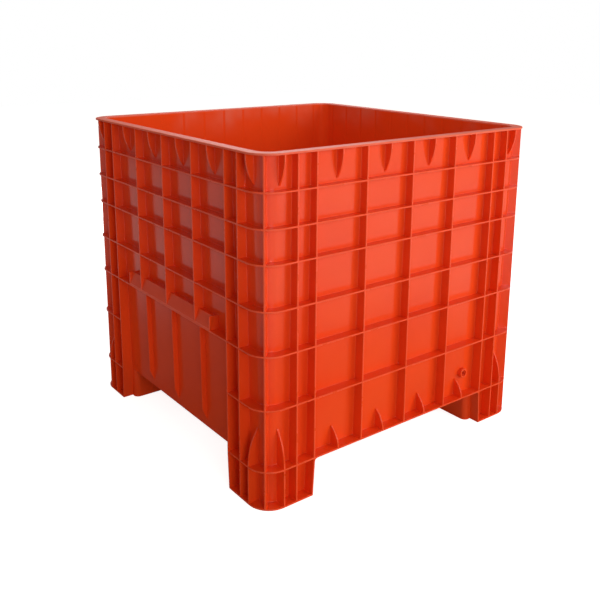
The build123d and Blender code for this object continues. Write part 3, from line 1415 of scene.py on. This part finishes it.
@dataclass
class NodeDesk:
    """A node tree with short ways to add nodes to it."""

    tree: bpy.types.NodeTree

    @classmethod
    def for_material(cls, name: str) -> tuple[Material, "NodeDesk", bpy.types.NodeInputs]:
        """Starts a material.

        Args:
            name: Name of the material.

        Returns:
            The material, its desk and its shader's sockets.
        """
        material = bpy.data.materials.new(name)
        material.use_nodes = True
        return material, cls(material.node_tree), material.node_tree.nodes["Principled BSDF"].inputs

    def feed(self, target: Socket, value: object) -> None:
        """Links a socket into another, or sets a plain value on it.

        Args:
            target: The socket that is fed.
            value: The other socket or the value.
        """
        if isinstance(value, Socket):
            self.tree.links.new(value, target)
        else:
            target.default_value = value

    def feed_named(self, node: bpy.types.Node, **values: object) -> bpy.types.NodeOutputs:
        """Feeds a node's sockets by their names.

        Args:
            node: The node.
            values: What goes to each socket, under its name in small letters.

        Returns:
            The node's outputs.
        """
        for name, value in values.items():
            self.feed(node.inputs[name.replace("_", " ").capitalize()], value)
        return node.outputs

    def add(self, kind: str, *values: object, **settings: object) -> bpy.types.NodeOutputs:
        """Adds a node.

        Args:
            kind: Blender's name of the node's type.
            values: What its first sockets are fed with.
            settings: The node's options.

        Returns:
            The node's outputs.
        """
        node = self.tree.nodes.new(kind)
        for name, setting in settings.items():
            setattr(node, name, setting)
        for target, value in zip([socket for socket in node.inputs if socket.enabled], values):
            self.feed(target, value)
        return node.outputs

    def math(self, operation: str, *values: Feed) -> Socket:
        """Works out a value from others."""
        return self.add("ShaderNodeMath", *values, operation=operation)["Value"]

    def times(self, *values: Feed) -> Socket:
        """Multiplies two or more values."""
        return reduce(lambda one, other: self.math("MULTIPLY", one, other), values)

    def ramp(self, value: Feed, low: Feed, high: Feed, start: Feed = 0.0, end: Feed = 1.0) -> Socket:
        """Steps smoothly from a start to an end while a value goes from one limit to the other."""
        limits = (low, high, start, end)
        return self.add("ShaderNodeMapRange", value, *limits, interpolation_type="SMOOTHSTEP")["Result"]

    def axes(self, vector: Socket) -> bpy.types.NodeOutputs:
        """Splits a vector into X, Y and Z."""
        return self.add("ShaderNodeSeparateXYZ", vector)

    def object_place(self) -> Socket:
        """The place of a point on its object."""
        return self.add("ShaderNodeTexCoord")["Object"]

    def noise(self, vector: Socket, scale: float, detail: float, roughness: float) -> Socket:
        """Makes a noise by its waves per metre, how many finer waves lie over them and their strength."""
        return self.add("ShaderNodeTexNoise", vector, scale, detail, roughness)["Fac"]

    def mix(self, share: Feed, one: object, other: object) -> Socket:
        """Mixes a share of the second colour into the first."""
        results = self.add("ShaderNodeMix", share, one, other, data_type="RGBA")
        return next(socket for socket in results if socket.enabled)

    def bump(self, height: Socket) -> Socket:
        """Turns a height in metres into a normal, at full strength."""
        node = self.tree.nodes.new("ShaderNodeBump")
        return self.feed_named(node, strength=1.0, distance=1.0, height=height)["Normal"]


FLOAT = "NodeSocketFloat"
VECTOR = "NodeSocketVector"


@dataclass(frozen=True)
class EffectGroup:
    """A shader node group of a vector: its name, its values and the names of its results."""

    name: str
    values: dict[str, float]
    results: tuple[str, ...]

    def start(self) -> tuple[NodeDesk, bpy.types.NodeOutputs, bpy.types.NodeInputs]:
        """Makes the empty group.

        Returns:
            The group's desk, its given values and the sockets that its results go to.
        """
        tree = bpy.data.node_groups.new(self.name, "ShaderNodeTree")
        tree.interface.new_socket("Vector", in_out="INPUT", socket_type=VECTOR)
        for name, value in self.values.items():
            tree.interface.new_socket(name, in_out="INPUT", socket_type=FLOAT).default_value = value
        for name in self.results:
            tree.interface.new_socket(name, in_out="OUTPUT", socket_type=FLOAT)
        desk = NodeDesk(tree)
        return desk, desk.add("NodeGroupInput"), tree.nodes.new("NodeGroupOutput").inputs

    def place(self, desk: NodeDesk, vector: Socket, **values: Feed) -> bpy.types.NodeOutputs:
        """Places the group in a material.

        Args:
            desk: The material's desk.
            vector: The place that the group reads.
            values: The material's own values, by their names in small letters.

        Returns:
            The group's results.
        """
        node = desk.tree.nodes.new("ShaderNodeGroup")
        node.node_tree = bpy.data.node_groups[self.name]
        return desk.feed_named(node, vector=vector, **values)


MOULD_SKIN = EffectGroup(
    "mould_skin", {"Grain depth": 0.000004, "Wave depth": 0.00008}, ("Shade", "Gloss", "Height")
)
WALL_DEPTH = EffectGroup(
    "wall_depth", {"Core": SIZES.core, "Radius": SIZES.radius}, ("Edge", "Inside", "Mouth", "Rim")
)
SINK_MARKS = EffectGroup(
    "sink_marks", {"Pitch": 0.091, "Width": 0.009, "Depth": 0.0006, "Foot": 0.200}, ("Mark", "Height")
)

# Waves per metre, finer waves and their strength, for a skin's shade, gloss, grain and waves.
SHADE_NOISE = (3.5, 3.0, 0.5)
GLOSS_NOISE = (11.0, 4.0, 0.6)
GRAIN_NOISE = (1500.0, 2.0, 0.5)
WAVE_NOISE = (13.0, 1.0, 0.5)

# Where each mask starts and where it is full.
# The rib edges, paler with rubbing and with a painted highlight.
LIT_AND_RUBBED_EDGE = (0.0016, 0.0004)
INSIDE_WALL_SHARE = (0.4, 0.6)
# The top of the inside, where a painted sheen is mixed in.
MOUTH_UNDER_RIM = (0.13, 0.01)
# The rim, paler with wear and with a painted sheen.
RIM_WEAR_AND_SHEEN_RISE = (0.0003, 0.0015)
SINK_FADE = 0.06


def make_mould_skin() -> None:
    """Builds the skin of a moulding: cloudy shade, uneven gloss, fine grain and slight waves."""
    desk, given, results = MOULD_SKIN.start()
    vector = given["Vector"]
    desk.feed(results["Shade"], desk.noise(vector, *SHADE_NOISE))
    desk.feed(results["Gloss"], desk.noise(vector, *GLOSS_NOISE))
    grain = desk.times(desk.noise(vector, *GRAIN_NOISE), given["Grain depth"])
    waves = desk.times(desk.noise(vector, *WAVE_NOISE), given["Wave depth"])
    desk.feed(results["Height"], desk.math("ADD", grain, waves))


def make_wall_depth() -> None:
    """Builds masks by place: rib edges, paler with rubbing and a painted highlight, the tub's inside, the top
    of that inside, which takes a painted sheen, and the rim, which takes wear and a painted sheen.
    """
    desk, given, results = WALL_DEPTH.start()
    x, y, height = desk.axes(given["Vector"])
    sides = [desk.math("SUBTRACT", desk.math("ABSOLUTE", run), given["Core"]) for run in (x, y)]
    beyond = [desk.math("MAXIMUM", side, 0.0) for side in sides]
    reach = desk.math("SQRT", desk.math("ADD", *(desk.times(run, run) for run in beyond)))
    edge = [desk.math("SUBTRACT", given["Radius"], run) for run in LIT_AND_RUBBED_EDGE]
    desk.feed(results["Edge"], desk.ramp(reach, *edge))
    lean = (SIZES.reach_top - SIZES.reach_bottom) / (SIZES.rim_under - SIZES.foot_top)
    wall = desk.math("MULTIPLY_ADD", height, lean, SIZES.reach_bottom - lean * SIZES.foot_top)
    behind = desk.math("SUBTRACT", wall, reach)
    inside = desk.ramp(behind, *(SIZES.wall * share for share in INSIDE_WALL_SHARE))
    desk.feed(results["Inside"], inside)
    upper = desk.ramp(height, *(SIZES.rim_top - drop for drop in MOUTH_UNDER_RIM))
    desk.feed(results["Mouth"], desk.times(inside, upper))
    desk.feed(results["Rim"], desk.ramp(height, *(SIZES.rim_under + rise for rise in RIM_WEAR_AND_SHEEN_RISE)))


def make_sink_marks() -> None:
    """Builds the shallow bands that show inside opposite the upright ribs."""
    desk, given, results = SINK_MARKS.start()
    x, y, height = desk.axes(given["Vector"])
    on_end = desk.math("GREATER_THAN", *(desk.math("ABSOLUTE", run) for run in (x, y)))
    along = desk.math("ADD", x, desk.times(desk.math("SUBTRACT", y, x), on_end))
    gap = desk.math("PINGPONG", along, desk.times(given["Pitch"], 0.5))
    above_floor = desk.ramp(height, given["Foot"], desk.math("ADD", given["Foot"], SINK_FADE))
    mark = desk.times(desk.ramp(gap, given["Width"], 0.0), above_floor)
    desk.feed(results["Mark"], mark)
    desk.feed(results["Height"], desk.times(mark, desk.times(given["Depth"], -1.0)))


@dataclass(frozen=True)
class MouldedPlastic:
    """Glossy moulded plastic, cloudy in shade; paler at the rib edges, with rubbing and a painted highlight,
    at the rim, with wear and a painted sheen, and at the top of the inside, with a painted sheen.

    Each field that ends in "between" holds the noise values from which a patch starts and is full.
    """

    name: str
    base: Colour
    deep: Colour
    # Colour of the rib edges, paler with rubbing and with a painted highlight.
    rubbed: Colour
    # Pale colour of the worn rim and of the painted sheen, at the rim and at the top of the inside.
    worn: Colour
    roughness: float = 0.14
    roughness_spread: float = 0.06
    edge_share: float = 0.4
    rim_share: float = 0.5
    # Share of the painted sheen at the top of the inside.
    haze_share: float = 0.6
    edge_dulling: float = 0.55
    rim_dulling: float = 0.28
    ior: float = 1.5
    mirror: float = 0.42
    deep_between: Span = (0.35, 0.7)
    rubbed_between: Span = (0.25, 0.6)
    least_rubbed: float = 0.35
    scuffed_between: Span = (0.4, 0.65)
    dull_between: Span = (0.3, 0.7)

    def make(self) -> Material:
        """Builds the material.

        Returns:
            The material.
        """
        material, desk, shader = NodeDesk.for_material(self.name)
        place = desk.object_place()
        skin = MOULD_SKIN.place(desk, place)
        depth = WALL_DEPTH.place(desk, place)
        sinks = SINK_MARKS.place(desk, place)
        colour = desk.mix(desk.ramp(skin["Shade"], *self.deep_between), self.base, self.deep)
        broken = desk.ramp(skin["Gloss"], *self.rubbed_between, self.least_rubbed)
        # Rib edges: rubbing and a painted highlight, mixed in patches towards a paler colour.
        rub_and_highlight = desk.times(depth["Edge"], broken, self.edge_share)
        colour = desk.mix(rub_and_highlight, colour, self.rubbed)
        # Painted sheen: the top of the inside is mixed in patches towards the pale colour, less on the sink
        # marks.
        unmarked = desk.math("SUBTRACT", 1.0, sinks["Mark"])
        sheen_patches = desk.times(desk.ramp(skin["Shade"], *self.scuffed_between), unmarked)
        painted_sheen = desk.times(depth["Mouth"], sheen_patches, self.haze_share)
        # Rim: wear and a painted sheen, mixed in patches towards the same pale colour.
        rim_wear_and_sheen = desk.times(depth["Rim"], broken, self.rim_share)
        desk.feed(shader["Base Color"], desk.mix(desk.math("MAXIMUM", painted_sheen, rim_wear_and_sheen), colour, self.worn))
        low = self.roughness - self.roughness_spread / 2
        gloss = desk.ramp(skin["Gloss"], *self.dull_between, low, low + self.roughness_spread)
        scuffed = desk.math("MULTIPLY_ADD", depth["Rim"], self.rim_dulling, gloss)
        desk.feed(shader["Roughness"], desk.math("MULTIPLY_ADD", rub_and_highlight, self.edge_dulling, scuffed))
        sink = desk.times(sinks["Height"], depth["Inside"])
        desk.feed(shader["Normal"], desk.bump(desk.math("ADD", skin["Height"], sink)))
        desk.feed(shader["IOR"], self.ior)
        desk.feed(shader["Specular IOR Level"], self.mirror)
        return material


@dataclass(frozen=True)
class SealRubber:
    """Dull rubber with a fine grain and dusty patches."""

    name: str
    base: Colour
    dusty: Colour
    roughness: float = 0.7
    dust_dulling: float = 0.15
    dusty_between: Span = (0.4, 0.75)
    grain_depth: float = 0.00001

    def make(self) -> Material:
        """Builds the material.

        Returns:
            The material.
        """
        material, desk, shader = NodeDesk.for_material(self.name)
        skin = MOULD_SKIN.place(desk, desk.object_place(), grain_depth=self.grain_depth, wave_depth=0.0)
        dust = desk.ramp(skin["Gloss"], *self.dusty_between)
        desk.feed(shader["Base Color"], desk.mix(dust, self.base, self.dusty))
        desk.feed(shader["Roughness"], desk.math("MULTIPLY_ADD", dust, self.dust_dulling, self.roughness))
        desk.feed(shader["Normal"], desk.bump(skin["Height"]))
        return material


TUB_PLASTIC = MouldedPlastic(
    "orange_red_plastic",
    base=(0.84, 0.074, 0.011, 1.0),
    deep=(0.81, 0.064, 0.009, 1.0),
    rubbed=(0.88, 0.105, 0.030, 1.0),
    worn=(0.78, 0.22, 0.14, 1.0),
)
PLUG_PLASTIC = MouldedPlastic(
    "dark_plug_plastic",
    base=(0.66, 0.040, 0.010, 1.0),
    deep=(0.60, 0.034, 0.008, 1.0),
    rubbed=(0.75, 0.07, 0.03, 1.0),
    worn=(0.75, 0.07, 0.03, 1.0),
    roughness=0.35,
)
SEAL_RUBBER = SealRubber(
    "black_seal_rubber",
    base=(0.018, 0.018, 0.018, 1.0),
    dusty=(0.05, 0.048, 0.045, 1.0),
)


def set_up(data: bpy.types.ID, place: Point, sight: Vector, roll: float = 0.0) -> Piece:
    """Sets a camera or a lamp up in the scene.

    Args:
        data: The camera or the lamp.
        place: Where it stands.
        sight: The way that it looks.
        roll: Its turn about that way in degrees.

    Returns:
        The new object.
    """
    stand = bpy.data.objects.new(data.name, data)
    bpy.context.scene.collection.objects.link(stand)
    heading = sight.to_track_quat("-Z", "Y") @ Quaternion((0.0, 0.0, 1.0), math.radians(roll))
    stand.matrix_world = Matrix.Translation(place) @ heading.to_matrix().to_4x4()
    return stand


@dataclass(frozen=True)
class PhotoCamera:
    """The camera at the photograph's viewing angle, fitted for a square image of 600 pixels."""

    place: Point = (-1.6391, -2.1427, 1.3317)
    yaw: float = 37.301
    pitch: float = -12.908
    roll: float = 0.378
    focal_pixels: float = 774.1
    middle_row: float = 210.0
    image_pixels: float = 600.0
    sensor: float = 36.0

    def build(self) -> None:
        """Sets up the camera and makes it the scene's."""
        data = bpy.data.cameras.new("photo_camera")
        data.sensor_width = self.sensor
        data.lens = self.sensor * self.focal_pixels / self.image_pixels
        data.shift_y = (self.middle_row - self.image_pixels / 2) / self.image_pixels
        yaw, pitch = math.radians(self.yaw), math.radians(self.pitch)
        sight = Vector((math.sin(yaw) * math.cos(pitch), math.cos(yaw) * math.cos(pitch), math.sin(pitch)))
        bpy.context.scene.camera = set_up(data, self.place, sight, self.roll)


@dataclass(frozen=True)
class SoftLamp:
    """A square soft box: where it hangs and points, its width, its power and whether gloss shows it."""

    name: str
    place: Point
    aim: Point
    width: float
    watts: float
    is_mirrored: bool = True

    def build(self) -> None:
        """Hangs the lamp."""
        data = bpy.data.lights.new(self.name, "AREA")
        data.shape = "SQUARE"
        data.size = self.width
        data.energy = self.watts
        lamp = set_up(data, self.place, Vector(self.aim) - Vector(self.place))
        lamp.visible_camera = False
        lamp.visible_glossy = self.is_mirrored


@dataclass
class Studio:
    """A pale floor, a white surround and soft boxes: bright in front, weaker over the mouth and at the rear.

    The gloss mirrors the surround and the floor as greyer behind the tub, where a dim room would stand.
    """

    surround: Colour = (1.0, 1.0, 1.0, 1.0)
    mirrored_rear: Colour = (0.28, 0.28, 0.28, 1.0)
    rear_ways: Span = (-0.3, 0.5)
    ambience: Colour = (0.29, 0.20, 0.16, 1.0)
    floor_size: float = 24.0
    floor_drop: float = 0.0005
    floor_colour: Colour = (0.80, 0.80, 0.80, 1.0)
    floor_lift: float = 0.88
    mirrored_floor: Colour = (0.25, 0.25, 0.25, 1.0)
    floor_mirror: float = 0.70
    mirror_fade: Span = (1.0, 2.4)
    rear_places: Span = (-1.0, 0.6)
    rear_shares: Span = (0.6, 0.15)
    rear_fade: Span = (4.6, 7.0)
    lamps: tuple[SoftLamp, ...] = (
        SoftLamp("front_box", (2.3, -4.1, 1.8), (0.0, 0.0, 0.55), 2.6, 102.0, is_mirrored=False),
        SoftLamp("left_fill", (-1.6, -4.6, 1.6), (-0.4, 0.0, 0.5), 1.8, 56.0),
        SoftLamp("mouth_box", (-0.1, -0.25, 2.4), (-0.1, 0.4, 0.8), 0.8, 7.0),
        SoftLamp("rear_fill", (2.6, 3.8, 3.9), (0.2, 0.2, 0.4), 2.0, 60.0),
        SoftLamp("rear_low", (1.0, 4.2, 0.55), (0.0, 0.5, 0.5), 1.0, 40.0),
    )

    def light_surround(self) -> None:
        """Lights the world: white where it is seen or mirrored, greyer behind, dimmer where it lights."""
        world = bpy.data.worlds.new("white_surround")
        bpy.context.scene.world = world
        world.use_nodes = True
        desk = NodeDesk(world.node_tree)
        path = desk.add("ShaderNodeLightPath")
        seen = desk.math("MAXIMUM", path["Is Camera Ray"], path["Is Transmission Ray"])
        way = desk.axes(desk.add("ShaderNodeTexCoord")["Generated"])
        mirrored = desk.mix(desk.ramp(way["Y"], *self.rear_ways), self.surround, self.mirrored_rear)
        lit = desk.mix(seen, self.ambience, self.surround)
        background = world.node_tree.nodes["Background"]
        desk.feed(background.inputs["Color"], desk.mix(path["Is Glossy Ray"], lit, mirrored))

    def floor_finish(self) -> Material:
        """Builds the floor's finish, which keeps the object's shadow and is lifted to white where it is seen.

        Returns:
            The material.
        """
        material, desk, shader = NodeDesk.for_material("pale_floor")
        desk.feed(shader["Roughness"], 1.0)
        desk.feed(shader["Specular IOR Level"], 0.0)
        desk.feed(shader["Emission Color"], self.surround)
        path = desk.add("ShaderNodeLightPath")
        glossy = path["Is Glossy Ray"]
        desk.feed(shader["Base Color"], desk.mix(glossy, self.floor_colour, self.mirrored_floor))
        place = desk.object_place()
        away = desk.add("ShaderNodeVectorMath", place, operation="LENGTH")["Value"]
        far = desk.ramp(away, *self.mirror_fade, 0.0, self.floor_mirror)
        rear = desk.ramp(away, *self.rear_fade, *self.rear_shares)
        behind = desk.ramp(desk.axes(place)["Y"], *self.rear_places, 1.0, rear)
        mirrored = desk.times(glossy, desk.times(far, behind))
        seen = desk.math("MULTIPLY_ADD", path["Is Camera Ray"], self.floor_lift, mirrored)
        desk.feed(shader["Emission Strength"], seen)
        return material

    def lay_floor(self) -> None:
        """Lays the floor just under the feet."""
        deselect_all()
        bpy.ops.mesh.primitive_plane_add(size=self.floor_size, location=(0.0, 0.0, -self.floor_drop))
        floor = bpy.context.object
        floor.name = "studio_floor"
        floor.data.materials.append(self.floor_finish())

    def build(self) -> None:
        """Sets the view, the surround, the floor and the lamps."""
        bpy.context.scene.view_settings.view_transform = "Standard"
        self.light_surround()
        self.lay_floor()
        for lamp in self.lamps:
            lamp.build()


def dress_solid(node: str, material: Material) -> None:
    """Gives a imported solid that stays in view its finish.

    Args:
        node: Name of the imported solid.
        material: The finish.
    """
    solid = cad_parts[node]
    if not solid.material_slots:
        solid.data.materials.append(material)
    for material_slot in solid.material_slots:
        material_slot.material = material
    LOG.info("%s: kept, finished as %s", node, material.name)


def main() -> None:
    """Builds the studio, the finishes and the container."""
    logging.basicConfig(level=logging.INFO, format="%(name)s: %(message)s")
    PhotoCamera().build()
    Studio().build()
    make_mould_skin()
    make_wall_depth()
    make_sink_marks()
    tub = TUB_PLASTIC.make()
    plug = PLUG_PLASTIC.make()
    rubber = SEAL_RUBBER.make()

    boss = DrainBoss()
    posts = CornerPosts()
    moulding = (SideWalls(boss), posts, Feet(posts), RimRing(), FloorPan(), RecessRibs(), TippingLips(), boss)
    for section in moulding:
        section.dress(tub)
    DrainPlug().dress(plug)
    for node in ("underside_long_ribs", "underside_cross_ribs"):
        dress_solid(node, tub)
    dress_solid("drain_seal", rubber)


if __name__ == "__main__":
    main()
